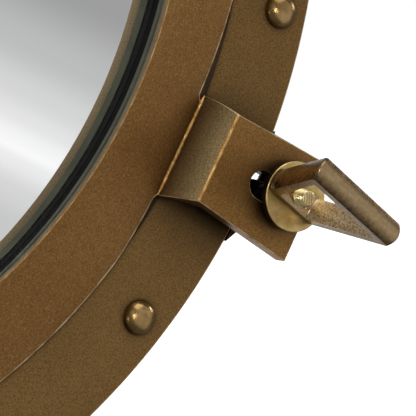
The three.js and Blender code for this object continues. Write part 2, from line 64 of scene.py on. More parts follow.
FLANGE_RADIUS = 280.0
FLANGE_BACK = -6.0
FLANGE_ROUND = 0.7
BORE_RADIUS = 225.5
COLLAR_RADIUS = 274.0
COLLAR_FRONT = -6.3
COLLAR_BACK = -9.3
SLEEVE_INNER = 226.5
SLEEVE_OUTER = 230.0
SEAT_INNER = 227.3
SEAT_OUTER = 234.7
SEAT_DEPTH = 2.7

RIVET_COUNT = 12
RIVET_CIRCLE = 266.9
RIVET_START = 15.0
RIVET_RADIUS = 6.9
RIVET_HEIGHT = 4.4
RIVET_LIFT = 0.15
RIVET_FULLNESS = 0.92  # below 1, the dome is fuller than a half ball
RIVET_SHANK = 3.0

DOOR_RADIUS = 243.8
DOOR_EDGE = 1.3
PANE_OPENING = 208.8
DOOR_CREST = 11.8
WALL_FOOT = 209.9  # the opening's wall leans outwards as it goes in
LIP_BASE = 6.0
TRIM_LOW = 1.5
TRIM_TOP = 5.7
TRIM_BEAD = 209.4
TRIM_FOOT = 210.3
GLAZING_INNER = 210.7
CELL_INNER = 216.5
CELL_OUTER = 223.5
CELL_BACK = -10.9
CONE_SLOPE = (DOOR_CREST - DOOR_EDGE) / (DOOR_RADIUS - PANE_OPENING)
CONE_TILT = math.atan(CONE_SLOPE)
RIM_BEVEL = 0.5
ARRIS = 0.34  # half-width of the rubbed line along the door's outer edge, painted bright as a highlight
RIM_WEDGE_ABOVE = 3.7
RIM_WEDGE_BELOW = 2.4
WEDGE_ABOVE = 74.0  # how far along the rim each wedge runs, from the lug's middle
WEDGE_BELOW = 52.0
CREST_SIDES = range(7, 10)  # of the door's profile
WALL_SIDES = range(10, 13)

PANE_RADIUS = 213.5
PANE_FRONT = -3.2
PANE_BACK = -7.2
BOARD_BACK = -10.4
RETAINER_INNER = 206.0
RETAINER_OUTER = 223.2
RETAINER_FRONT = -11.2
RETAINER_BACK = -13.2
RETAINER_SCREWS = 8
RETAINER_SCREW_CIRCLE = 219.9
RETAINER_SCREW_START = 22.5

DOG_ANGLES = {"right": -30.0, "left": -150.0}
LUG_ANGLES = {"right": -30.28, "left": -149.72}
LUG_ROOT = 241.5
LUG_CREASE = 251.0
LUG_END = 298.8
LUG_TOP = 16.4
LUG_THICKNESS = 6.4
LUG_ROOT_HALF = 22.3
LUG_CREASE_HALF = 19.2
LUG_END_HALF = 22.0
SLOT_END = 268.5
BEAD_RADIUS = 1.05
CREASE_RADIUS = 1.6
SLOT_HALF = 5.8
SLOT_STEPS = 24

BOLT_CIRCLE = 286.4
BOLT_RADIUS = 4.0
BOLT_PITCH = 1.25
BOLT_TIP = 32.4
PIVOT_HEIGHT = -4.5
EYE_RADIUS = 5.5
EYE_HALF = 4.0
PIVOT_RADIUS = 2.5
PIVOT_PITCH = 0.8
EAR_INNER = 8.3
EAR_OUTER = 13.5
EAR_END = 293.0
EAR_NECK = 285.5
SHOULDER_RADIUS = 278.6
SHOULDER_HALF = 25.0
BRIDGE_INNER = 274.8
BRIDGE_OUTER = 279.8

NUT_BASE = 20.3
BOSS_RADIUS = 14.2
BOSS_TOP = 23.5
WASHER_RADIUS = 9.7
WASHER_BASE = 20.0
WASHER_TOP = 21.2
BOSS_WALL_SIDE = 8  # the boss outline's sides up to its wall, which are painted dark as shade
BAIL_TURN = -9.0
BAIL_TOP = 66.0
BAIL_BAR = 6.5
BAIL_HALF_THICKNESS = 5.0
BAIL_RIB = 3.2
BAIL_CROWN = 1.5
NOTCH_START = 276.5
NOTCH_HALF = 7.5
BAIL_BASE_HALF = 13.0
BAIL_TOP_HALF = 23.5
BAIL_ARM = 6.0
BAIL_OUTER_CORNERS = {0: 0.3, 1: 0.3, 2: 1.0, 3: 1.0}
BAIL_INNER_CORNERS = {0: 1.2, 1: 1.2, 2: 0.8, 3: 0.8}
BAIL_LAYERS = 12
SAW_PITCH = 0.85
WAVES_PER_UNIT = 3.1  # of the wave texture at scale 1

HINGE_Y = 258.0
HINGE_HEIGHT = 7.5
KNUCKLE_RADIUS = 6.0
KNUCKLE_HALF = 9.2
KNUCKLE_BORE = 2.9
PIN_RADIUS = 2.5
PIN_HEAD_RADIUS = 3.6
HINGE_HALF = 26.0
LEAF_THICKNESS = 3.5
DOOR_LEAF_FOOT = 214.0
DOOR_PAD_END = 240.0
DOOR_LEAF_HALF = 20.0
PAD_LIFT = 0.36  # of the door's leaf over the cone
BASE_LEAF_LOW = 259.0
BASE_LEAF_HIGH = 277.6
BASE_SCREW_X = 17.0
BASE_SCREW_Y = 272.0
DOOR_SCREW_X = 12.0
DOOR_SCREW_Y = 228.0

# ---------------- camera

CAMERA_PLACE = (-0.1348, -0.6021, -0.0918)
CAMERA_AZIMUTH = -31.64  # degrees; the camera stands this far round towards -X from straight ahead
CAMERA_ELEVATION = 4.69
CAMERA_ROLL = -1.10
CAMERA_LENS = 147.2  # mm, on a 36 mm sensor


def add_camera():
    az, el, roll = (math.radians(v) for v in (CAMERA_AZIMUTH, CAMERA_ELEVATION, CAMERA_ROLL))
    back = Vector((math.sin(az) * math.cos(el), -math.cos(az) * math.cos(el), math.sin(el)))
    level = Vector((0, 0, 1)).cross(back).normalized()
    upright = back.cross(level)
    right = math.cos(roll) * level + math.sin(roll) * upright
    up = math.cos(roll) * upright - math.sin(roll) * level
    data = bpy.data.cameras.new("camera")
    data.lens = CAMERA_LENS
    data.clip_start = 0.01
    camera = bpy.data.objects.new("camera", data)
    camera.matrix_world = Matrix.Translation(CAMERA_PLACE) @ Matrix((right, up, back)).transposed().to_4x4()
    bpy.context.scene.collection.objects.link(camera)
    bpy.context.scene.camera = camera


# ---------------- materials


def linear(red, green, blue):
    """An sRGB colour of 0 to 255 as a linear one with alpha."""
    def channel(v):
        v /= 255
        return v / 12.92 if v <= 0.04045 else ((v + 0.055) / 1.055) ** 2.4
    return (channel(red), channel(green), channel(blue), 1.0)


def shade(colour, share):
    """A colour darkened to a share of itself."""
    return tuple(share * v for v in colour)


def add_node(tree, kind, **inputs):
    """Adds a node whose inputs are linked or set, with _ for a space in their names."""
    node = tree.nodes.new("ShaderNode" + kind)
    for name, value in inputs.items():
        socket = node.inputs[name.replace("_", " ")]
        if isinstance(value, bpy.types.NodeSocket):
            tree.links.new(value, socket)
        else:
            socket.default_value = value
    return node


class Finish:
    """Builds one node material round a Principled shader, in object coordinates."""

    def __init__(self, name, metallic, roughness, **settings):
        self.material = bpy.data.materials.new(name)
        self.material.use_nodes = True
        self.tree = self.material.node_tree
        self.shader = self.tree.nodes["Principled BSDF"]
        self.shader.inputs["Metallic"].default_value = metallic
        self.shader.inputs["Roughness"].default_value = roughness
        for socket, value in settings.items():
            self.shader.inputs[socket.replace("_", " ")].default_value = value
        self.place = self.tree.nodes.new("ShaderNodeTexCoord").outputs["Object"]
        self.normal = None

    def link(self, source, target):
        self.tree.links.new(source, target)

    def node(self, kind, **inputs):
        return add_node(self.tree, kind, **inputs)

    def noise(self, size_mm, detail, stretch=(1, 1, 1), offset=0.0, roughness=0.5):
        """Noise whose features are about size_mm wide."""
        place = self.node("Mapping", Vector=self.place, Scale=stretch, Location=(offset, offset, offset))
        noise = self.node("TexNoise", Vector=place.outputs["Vector"], Scale=1.0 / (size_mm * MM),
                          Detail=detail, Roughness=roughness)
        return noise.outputs["Fac"]

    def remap(self, value, low, high, to_low=0.0, to_high=1.0):
        node = self.node("MapRange", Value=value, From_Min=low, From_Max=high, To_Min=to_low, To_Max=to_high)
        return node.outputs["Result"]

    def patches(self, size_mm, detail, low, high, to_low=0.0, to_high=1.0, **noise):
        """Noise whose middle range is stretched into patches."""
        return self.remap(self.noise(size_mm, detail, **noise), low, high, to_low, to_high)

    def mix(self, factor, first, second):
        """Mixes two colours, given as sockets, as sRGB colours or as linear ones with alpha."""
        node = self.node("Mix", Factor=factor)
        node.data_type = "RGBA"
        for key, value in (("A", first), ("B", second)):
            socket = next(s for s in node.inputs if s.name == key and s.type == "RGBA")
            if isinstance(value, bpy.types.NodeSocket):
                self.link(value, socket)
            else:
                socket.default_value = linear(*value) if len(value) == 3 else value
        return next(s for s in node.outputs if s.type == "RGBA")

    def bump(self, height, depth_mm, strength):
        """Adds one layer of bump to the shader."""
        node = self.node("Bump", Height=height, Distance=depth_mm * MM, Strength=strength)
        if self.normal:
            self.link(self.normal, node.inputs["Normal"])
        self.normal = node.outputs["Normal"]
        self.link(self.normal, self.shader.inputs["Normal"])

    def occlusion_shade(self, reach_mm, low, high):
        """A mask from ambient occlusion, 0 deep in corners and 1 in the open, used to paint shade into
        corners.
        """
        node = self.node("AmbientOcclusion", Distance=reach_mm * MM)
        node.samples = 8
        return self.remap(node.outputs["AO"], low, high)

    def color(self, value):
        self.link(value, self.shader.inputs["Base Color"])

    def rough(self, value):
        self.link(value, self.shader.inputs["Roughness"])


def metallic_paint(name, dark, light, flake, offset, corner_shade_share=0.42):
    """Sprayed bronze paint: metal flakes under an orange-peel skin, clouded by hand, with painted shade in
    the corners and a thin painted contact shadow along seams.
    """
    finish = Finish(name, metallic=0.92, roughness=0.45, Coat_Weight=0.1, Coat_Roughness=0.35)
    clouds = finish.patches(38, 3, 0.3, 0.7, offset=offset)
    base = finish.mix(clouds, dark, light)
    grain = finish.patches(0.65, 3, 0.4, 0.62, 0, 0.55, offset=offset + 1)
    speckled = finish.mix(grain, base, shade(dark, 0.62))
    flakes = finish.patches(0.6, 1, 0.55, 0.72, 0, 0.55, offset=offset + 2)
    flaked = finish.mix(flakes, speckled, flake)
    # Painted shade: the paint darkens where ambient occlusion finds corners and overhangs, such as under the
    # lugs.
    corner_shaded = finish.mix(finish.occlusion_shade(32, 0.45, 0.96), shade(dark, corner_shade_share), flaked)
    # Painted contact shadow: a thin dark line along seams, round the rivets and by the door's edge.
    finish.color(finish.mix(finish.occlusion_shade(2.6, 0.55, 0.93), shade(dark, 0.3), corner_shaded))
    finish.rough(finish.patches(3.5, 3, 0.3, 0.7, 0.40, 0.50, offset=offset + 3))
    finish.bump(finish.noise(0.6, 2, offset=offset + 4), 0.03, 0.5)
    finish.bump(finish.noise(5.0, 2, offset=offset + 5), 0.08, 0.5)
    return finish.material


def worn_edge_and_highlight(name, paint, bare_and_highlight, low=0.36, high=0.6, roughness=0.36):
    """Paint rubbed through on an edge, with the bare metal showing in patches; its lighter copies also paint
    highlights along edges and creases.
    """
    finish = Finish(name, metallic=0.95, roughness=roughness)
    wear_and_sheen = finish.patches(4.5, 3, low, high)
    finish.color(finish.mix(wear_and_sheen, paint, bare_and_highlight))
    finish.bump(finish.noise(0.5, 2), 0.05, 0.4)
    return finish.material


def burnished_metal(name, dark, light, roughness, grain_mm=0.5, offset=0.0, shade_reach=0.0):
    """Rubbed cast metal: cloudy tarnish, fine grain, faint scratches, and painted shade in corners if asked.
    """
    finish = Finish(name, metallic=1.0, roughness=roughness)
    clouds = finish.patches(7, 4, 0.34, 0.66, offset=offset)
    tarnish = finish.mix(clouds, dark, light)
    grain = finish.patches(grain_mm, 2, 0.42, 0.7, 0, 0.3, offset=offset + 1)
    metal = finish.mix(grain, tarnish, shade(dark, 0.6))
    if shade_reach:
        # Painted shade in corners, found by ambient occlusion.
        metal = finish.mix(finish.occlusion_shade(shade_reach, 0.35, 0.8), shade(dark, 0.3), metal)
    finish.color(metal)
    finish.rough(finish.patches(3, 3, 0.3, 0.7, roughness - 0.05, roughness + 0.07, offset=offset + 2))
    finish.bump(finish.noise(0.8, 3, stretch=(1, 1, 6), offset=offset + 3), 0.02, 0.4)
    finish.bump(finish.noise(grain_mm, 2, offset=offset + 4), 0.03, 0.3)
    return finish.material


def worn_metal_with_sheen(name, tarnish_and_shade, bare_and_highlight, roughness, offset=0.0):
    """Cast metal lighter along its crown and darker at its edges by the mesh's rubbed attribute: partly wear
    from hands, partly a painted highlight stripe with painted shade at the edges.
    """
    finish = Finish(name, metallic=1.0, roughness=roughness)
    rubbed = finish.node("Attribute")
    rubbed.attribute_name = "rubbed"
    patches = finish.patches(1.6, 4, 0.3, 0.7, -0.12, 0.12, offset=offset)
    wear_and_sheen = finish.node("Math")
    finish.link(rubbed.outputs["Fac"], wear_and_sheen.inputs[0])
    finish.link(patches, wear_and_sheen.inputs[1])
    finish.color(finish.mix(finish.remap(wear_and_sheen.outputs["Value"], 0.0, 1.0), tarnish_and_shade, bare_and_highlight))
    finish.rough(finish.patches(2.4, 3, 0.3, 0.7, roughness - 0.05, roughness + 0.08, offset=offset + 2))
    finish.bump(finish.noise(0.5, 2, offset=offset + 4), 0.03, 0.4)
    return finish.material


def sawn_metal(name, dark, light):
    """A sawn end: bright, with the blade's marks across it."""
    finish = Finish(name, metallic=1.0, roughness=0.3)
    scale = 1 / (SAW_PITCH * MM) / WAVES_PER_UNIT
    wave = finish.node("TexWave", Vector=finish.place, Scale=scale, Distortion=1.2, Detail=2.0)
    marks = finish.remap(wave.outputs["Fac"], 0.1, 0.7)
    finish.color(finish.mix(marks, dark, light))
    finish.bump(wave.outputs["Fac"], 0.16, 0.8)
    finish.bump(finish.noise(0.4, 2), 0.05, 0.4)
    return finish.material


def cast_metal(name, dark, light):
    """The sand-cast skin inside the bail, grainy and golden."""
    finish = Finish(name, metallic=1.0, roughness=0.36)
    patches = finish.patches(0.8, 5, 0.4, 0.54, roughness=0.75)
    finish.color(finish.mix(patches, dark, light))
    finish.bump(finish.noise(1.0, 4, roughness=0.65), 0.18, 0.7)
    finish.bump(finish.noise(0.35, 2), 0.08, 0.5)
    return finish.material


def rubber(name):
    finish = Finish(name, metallic=0.0, roughness=0.7, Specular_IOR_Level=0.08)
    dust = finish.patches(6, 4, 0.55, 0.8, 0, 0.15)
    finish.color(finish.mix(dust, (13, 12, 11), (44, 43, 38)))
    finish.bump(finish.noise(0.7, 3), 0.05, 0.6)
    return finish.material


def silvered_glass(name):
    finish = Finish(name, metallic=1.0, roughness=0.02)
    film = finish.patches(60, 3, 0.3, 0.7)
    finish.color(finish.mix(film, (250, 251, 251), (253, 253, 253)))
    finish.rough(finish.patches(40, 2, 0.3, 0.8, 0.01, 0.02, offset=2))
    return finish.material


def fibre_board(name):
    finish = Finish(name, metallic=0.0, roughness=0.8)
    fibres = finish.noise(1.1, 4, stretch=(1, 1, 3))
    clouds = finish.patches(25, 4, 0.3, 0.7)
    base = finish.mix(clouds, (98, 72, 46), (122, 92, 60))
    finish.color(finish.mix(finish.remap(fibres, 0.45, 0.7, 0, 0.6), base, (66, 46, 28)))
    finish.bump(fibres, 0.15, 0.7)
    return finish.material


def clouded_metal(name, metallic, roughness, cloud_mm, grain_mm, first, second):
    """Plated or matt metal, faintly clouded."""
    finish = Finish(name, metallic, roughness)
    clouds = finish.patches(cloud_mm, 3, 0.35, 0.65)
    finish.color(finish.mix(clouds, first, second))
    finish.bump(finish.noise(grain_mm, 2), 0.03, 0.4)
    return finish.material


door_paint = metallic_paint("bronze paint", (145, 102, 51), (159, 116, 63), (194, 152, 94), 0.0)
base_paint = metallic_paint("olive bronze paint", (127, 95, 50), (140, 106, 59), (172, 138, 87), 7.0)
# A lighter copy of the door's paint, which stands for the light on the lug plate.
lit_lug_paint = metallic_paint("lug paint painted lighter", (152, 108, 54), (166, 122, 66), (202, 162, 98), 3.0, 0.5)
# Painted sheen: a paler, greyer copy of the lug paint that stands for the ramp's reflection.
ramp_sheen_paint = metallic_paint("ramp paint with painted sheen", (164, 136, 90), (190, 162, 112), (220, 194, 144), 5.0, 0.6)
bevel_paint = metallic_paint("shaded bevel paint", (72, 54, 30), (88, 66, 38), (118, 92, 58), 6.0)
# Painted sheen: the opening's inner wall is painted pale to stand for its grazing reflection.
wall_sheen_paint = metallic_paint("wall paint with painted sheen", (206, 176, 126), (224, 196, 146), (240, 218, 176), 9.0)
paint_edge = worn_edge_and_highlight("rubbed paint edge", (150, 112, 62), (196, 160, 104))
# Partly a painted highlight along the opening's crest, partly rubbed paint.
crest_highlight_edge = worn_edge_and_highlight("rubbed crest with painted highlight", (168, 124, 68), (208, 164, 102), 0.4, 0.62, 0.4)
# Partly a painted highlight: pale edge lines that stand for light caught by the edges, as well as bare metal.
bare_edge_highlight = worn_edge_and_highlight("bare edge with painted highlight", (168, 134, 94), (236, 210, 170), 0.36, 0.66, 0.38)
# Partly a painted highlight along the lug's creases and braze bead, partly rubbed paint.
crease_gold_highlight = worn_edge_and_highlight("rubbed crease with painted highlight", (172, 124, 62), (222, 178, 112), 0.4, 0.64, 0.42)
# Painted shade: the slot's wall is near black to stand for the shadow inside the slot.
slot_wall_shade = burnished_metal("slot wall painted dark as shade", (34, 28, 20), (52, 42, 30), 0.4, 0.6, 8.0)
# Painted shade: near-black brass for the washer, the boss's wall, the bolt's eye and the stud below the nut,
# which lie in shade.
shade_dark_brass = burnished_metal("brass painted dark as shade", (30, 26, 20), (54, 46, 34), 0.34, 0.5, 4.0)
rivet_bronze = burnished_metal("burnished rivet", (146, 116, 70), (186, 154, 104), 0.27)
# Its dark and light ends paint the bail's edge shade and crown highlight, along with wear.
nut_brass = worn_metal_with_sheen("satin cast brass", (76, 55, 32), (196, 168, 126), 0.28, 2.0)
# Painted shade in the boss's corners, within 8 mm.
boss_brass = burnished_metal("golden cast brass", (200, 164, 98), (240, 210, 144), 0.34, 0.6, 1.0, 8.0)
rough_brass = cast_metal("rough cast brass", (192, 146, 82), (255, 252, 232))
stud_brass = burnished_metal("cut brass", (250, 220, 150), (255, 240, 186), 0.3, 0.4, 5.0)
sawn_brass = sawn_metal("sawn brass", (176, 128, 62), (255, 238, 184))
dark_steel = burnished_metal("dark pivot steel", (84, 76, 62), (112, 102, 84), 0.4, 0.4, 6.0)
black_rubber = rubber("black rubber")
mirror_glass = silvered_glass("silvered glass")
hardboard = fibre_board("hardboard")
zinc_steel = clouded_metal("zinc-plated steel", 1.0, 0.3, 3, 0.4, (176, 178, 172), (150, 148, 134))
trim_grey = clouded_metal("grey trim", 0.5, 0.5, 12, 0.5, (72, 75, 58), (92, 93, 74))

# ---------------- mesh tools


def polar(radius, angle):
    return radius * math.cos(angle), radius * math.sin(angle)


def mesh_object(name, bm, materials):
    """Turns a bmesh into an object in the scene, and frees it."""
    mesh = bpy.data.meshes.new(name)
    bm.to_mesh(mesh)
    bm.free()
    for material in materials:
        mesh.materials.append(material)
    obj = bpy.data.objects.new(name, mesh)
    bpy.context.scene.collection.objects.link(obj)
    return obj


def join_rows(bm, this, following):
    """Faces between two closed rows of the same number of vertices."""
    for k in range(len(this)):
        j = (k + 1) % len(this)
        bm.faces.new((this[k], this[j], following[j], following[k]))


def finish_object(name, bm, materials, smooth_angle=32.0, matrix=Matrix.Identity(4)):
    """Turns a bmesh in face-frame millimetres into an object in the frame's metres."""
    bmesh.ops.remove_doubles(bm, verts=bm.verts, dist=WELD)
    bmesh.ops.recalc_face_normals(bm, faces=bm.faces)
    bm.transform(FACE @ matrix)
    for face in bm.faces:
        face.smooth = True
    limit = math.radians(smooth_angle)
    for edge in bm.edges:
        edge.smooth = len(edge.link_faces) == 2 and edge.calc_face_angle(0) < limit
    return mesh_object(name, bm, materials)


def soften(obj, width_mm, segments=3, angle=30.0, edge_material=-1):
    """Rounds every edge sharper than an angle and keeps the flats flat."""
    bevel = obj.modifiers.new("rounded edges", "BEVEL")
    bevel.width = width_mm * MM
    bevel.segments = segments
    bevel.limit_method = "ANGLE"
    bevel.angle_limit = math.radians(angle)
    bevel.material = edge_material
    bevel.use_clamp_overlap = True
    flats = obj.modifiers.new("flat faces", "WEIGHTED_NORMAL")
    flats.keep_sharp = False


def carve(obj, cutter):
    """Cuts one object out of another for good, and removes the cutter."""
    modifier = obj.modifiers.new("cut", "BOOLEAN")
    modifier.operation = "DIFFERENCE"
    modifier.solver = "EXACT"
    modifier.object = cutter
    bpy.context.view_layer.update()
    evaluated = obj.evaluated_get(bpy.context.evaluated_depsgraph_get())
    mesh = bpy.data.meshes.new_from_object(evaluated)
    obj.modifiers.remove(modifier)
    old = obj.data
    obj.data = mesh
    bpy.data.meshes.remove(old)
    bpy.data.objects.remove(cutter)


def fillet(outline, radii, steps=4, closed=True):
    """Rounds the corners of a list of 2D points. radii maps a corner's index to its radius."""
    result = []
    count = len(outline)
    for i, point in enumerate(outline):
        radius = radii.get(i, 0) if isinstance(radii, dict) else radii
        if not radius or (not closed and i in (0, count - 1)):
            result.append(tuple(point))
            continue
        here = Vector(point)
        before = (Vector(outline[i - 1]) - here).normalized()
        after = (Vector(outline[(i + 1) % count]) - here).normalized()
        half = before.angle(after) / 2
        reach = radius / math.tan(half)
        centre = here + (before + after).normalized() * (radius / math.sin(half))
        start = here + before * reach - centre
        sweep = (here + after * reach - centre).angle_signed(start)
        for k in range(steps + 1):
            turned = start.copy()
            turned.rotate(Matrix.Rotation(sweep * k / steps, 2))
            result.append(tuple(centre + turned))
    return result


def revolve(outline, steps=RING_STEPS, closed=True, mark=None):
    """Revolves [radius, height] points, or a function of the angle that gives them, round Z.

    mark gives the material index of a side from the index of its first point.
    """
    bm = bmesh.new()
    count = len(outline(0.0) if callable(outline) else outline)
    rows = []
    for k in range(steps):
        angle = TAU * k / steps
        points = outline(angle) if callable(outline) else outline
        rows.append([
            bm.verts.new((*polar(r, angle), h)) if r > 1e-6 or k == 0 else rows[0][i]
            for i, (r, h) in enumerate(points)
        ])
    sides = count if closed else count - 1
    for k in range(steps):
        this, following = rows[k], rows[(k + 1) % steps]
        for i in range(sides):
            j = (i + 1) % count
            corners = dict.fromkeys((this[i], following[i], following[j], this[j]))
            if len(corners) > 2:
                face = bm.faces.new(list(corners))
                face.material_index = mark(i) if mark else 0
    return bm


def ring_section(inner, outer, low, high):
    """A rectangular section, from its low inner corner round by the outside."""
    return [(inner, low), (outer, low), (outer, high), (inner, high)]


def turned(name, outline, materials, steps=RING_STEPS, closed=True, mark=None, matrix=Matrix.Identity(4)):
    """A revolved object with its flats kept flat."""
    obj = finish_object(name, revolve(outline, steps, closed, mark), materials, matrix=matrix)
    flats = obj.modifiers.new("flat faces", "WEIGHTED_NORMAL")
    flats.keep_sharp = True
    return obj


def prism(corners, low, high):
    """Extrudes [x, y] corners between two heights."""
    bm = bmesh.new()
    bottom = [bm.verts.new((x, y, low)) for x, y in corners]
    top = [bm.verts.new((x, y, high)) for x, y in corners]
    bm.faces.new(list(reversed(bottom)))
    bm.faces.new(top)
    join_rows(bm, bottom, top)
    return bm


def threaded(radius, pitch, low, high, steps, rows_per_pitch, dome, taper=0.0):
    """A rod on Z with a real helical thread that runs out at both ends."""
    bm = bmesh.new()
    count = int((high - low) / pitch * rows_per_pitch)
    rows = []
    for i in range(count + 1):
        z = low + (high - low) * i / count
        fade = min(1.0, (z - low) / THREAD_RUNOUT, (high - z) / (0.6 * pitch) + 0.25)
        row = []
        for k in range(steps):
            phase = (z / pitch - k / steps) % 1.0
            groove = 0.5 - 0.5 * math.cos(TAU * phase)
            r = radius - THREAD_DEPTH * pitch * max(0.0, fade) * groove ** 1.3
            r -= dome * max(0.0, 1 - (high - z) / TIP_ROUND) ** 2 + taper * max(0.0, z - high + TAPER_LENGTH)
            row.append(bm.verts.new((*polar(r, TAU * k / steps), z)))
        rows.append(row)
    for this, following in zip(rows, rows[1:]):
        join_rows(bm, this, following)
    bm.faces.new(list(reversed(rows[0])))
    tip = [bm.verts.new((v.co.x * TIP_SHARE, v.co.y * TIP_SHARE, high + dome)) for v in rows[-1]]
    join_rows(bm, rows[-1], tip)
    bm.faces.new(tip)
    return bm


def turn_about(axis, angle=math.pi / 2):
    return Matrix.Rotation(angle, 4, axis)


def at_angle(degrees):
    return turn_about("Z", math.radians(degrees))


def shift(x, y, z):
    return Matrix.Translation((x, y, z))


def keep(obj, body, slot, *nodes):
    """Rides a piece on its body and lets it stand for its CAD nodes. The slot argument is not used."""
    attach(obj, body)
    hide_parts(*nodes)


# ---------------- base


def add_base():
    flange = fillet([
        (BORE_RADIUS, FLANGE_BACK),
        (FLANGE_RADIUS, FLANGE_BACK),
        (FLANGE_RADIUS, 0),
        (SEAT_OUTER + GAP, 0),
        (SEAT_OUTER + GAP, -SEAT_DEPTH - GAP),
        (SEAT_INNER - GAP, -SEAT_DEPTH - GAP),
        (SEAT_INNER - GAP, 0),
        (BORE_RADIUS, 0),
    ], {1: 0.5, 2: FLANGE_ROUND, 3: 0.4, 6: 0.3, 7: 0.4})
    rubbed = [i for i, (radius, height) in enumerate(flange)
              if radius - FLANGE_RADIUS > -FLANGE_ROUND - 0.05 and height > -FLANGE_ROUND - 0.05]
    plate = turned("flange_plate", flange, [base_paint, paint_edge], mark=lambda i: int(i in rubbed[:-1]))
    notches = bmesh.new()
    corners = ring_section(NOTCH_START, FLANGE_RADIUS + 3, -NOTCH_HALF, NOTCH_HALF)
    for angle in DOG_ANGLES.values():
        cutter = prism(corners, FLANGE_BACK - 1, 1)
        cutter.transform(at_angle(angle))
        mesh = bpy.data.meshes.new("notch")
        cutter.to_mesh(mesh)
        cutter.free()
        notches.from_mesh(mesh)
        bpy.data.meshes.remove(mesh)
    carve(plate, finish_object("notches", notches, [base_paint]))
    keep(plate, "base", "flange_paint", "base_flange")

    tube = fillet(ring_section(SLEEVE_INNER, SLEEVE_OUTER, -WALL_DEPTH, COLLAR_FRONT), 0.4)
    keep(turned("sleeve_tube", tube, [base_paint]), "base", "flange_paint", "sleeve")

    plate = fillet(ring_section(SLEEVE_OUTER + GAP, COLLAR_RADIUS, COLLAR_BACK, COLLAR_FRONT), 0.5)
    keep(turned("collar_plate", plate, [base_paint]), "base", "flange_paint", "collar")

    gasket = fillet(ring_section(SEAT_INNER, SEAT_OUTER, -SEAT_DEPTH, 0), {2: 1.2, 3: 1.2})
    keep(turned("seat_seal", gasket, [black_rubber]), "base", "black_rubber", "seat_gasket")


def add_rivets():
    """Hand-set domed rivets, no two quite alike."""
    dice = random.Random(11)
    for i in range(RIVET_COUNT):
        radius = RIVET_RADIUS + dice.uniform(-0.15, 0.1)
        height = RIVET_HEIGHT + dice.uniform(-0.25, 0.1)
        dome = [(0, RIVET_LIFT + height)]
        for a in range(84, -1, -6):
            across, up = polar(1, math.radians(a))
            dome.append((radius * across ** RIVET_FULLNESS, RIVET_LIFT + height * up))
        tail = [
            (radius, 0.02), (RIVET_SHANK, 0.0), (RIVET_SHANK, COLLAR_BACK - 0.1), (5.0, COLLAR_BACK - 0.3),
            (4.8, COLLAR_BACK - 1.3), (3.6, COLLAR_BACK - 2.2), (0, COLLAR_BACK - 2.4),
        ]
        lean = Vector((dice.uniform(-0.35, 0.35), dice.uniform(-0.35, 0.35), 0))
        bm = revolve(dome + tail, 40, closed=False)
        for vert in bm.verts:
            if vert.co.z > 0:
                vert.co += lean * (vert.co.z / height) ** 2
        place = at_angle(RIVET_START + 360 / RIVET_COUNT * i) @ shift(RIVET_CIRCLE, 0, 0)
        number = f"{i + 1:02d}"
        obj = finish_object(f"rivet_head_{number}", bm, [rivet_bronze], matrix=place)
        keep(obj, "base", "burnished_bronze", f"rivet_{number}")


# ---------------- door


def rim_bevel(angle):
    """The width of the door's edge bevel, which widens into a wedge beside each lug."""
    width = RIM_BEVEL
    for dog, upward in ((LUG_ANGLES["right"], 1), (LUG_ANGLES["left"], -1)):
        along = upward * ((math.degrees(angle) - dog + 180) % 360 - 180) * math.radians(1) * DOOR_RADIUS
        reach, most = (WEDGE_ABOVE, RIM_WEDGE_ABOVE) if along > 0 else (WEDGE_BELOW, RIM_WEDGE_BELOW)
        if abs(along) > LUG_ROOT_HALF - 1:
            width += most * max(0.0, min(1.0, (reach - abs(along)) / (reach - LUG_ROOT_HALF)))
    return width


def cone_height(radius):
    return DOOR_EDGE + (DOOR_RADIUS - radius) * CONE_SLOPE


def door_profile(angle):
    """The door's section: side wall, a rubbed line painted as a highlight, edge bevel, a rubbed arris painted
    as a highlight, cone, opening and cell.
    """
    bevel = rim_bevel(angle)
    arris = DOOR_RADIUS - bevel
    outer = [
        (CELL_OUTER, GAP),
        (DOOR_RADIUS, GAP),
        (DOOR_RADIUS, 0.6),
        (DOOR_RADIUS - 0.15, 0.8),
        (arris + ARRIS, cone_height(arris) - 0.7 * ARRIS),
        (arris - ARRIS, cone_height(arris - ARRIS)),
    ]
    crest = fillet([
        (DOOR_RADIUS - 6, cone_height(DOOR_RADIUS - 6)),
        (PANE_OPENING, DOOR_CREST),
        (WALL_FOOT, LIP_BASE),
        (CELL_INNER, LIP_BASE),
    ], {1: 0.4, 2: 0.3}, closed=False)
    cell = [(CELL_INNER, CELL_BACK), (CELL_OUTER, CELL_BACK)]
    return outer + crest + cell


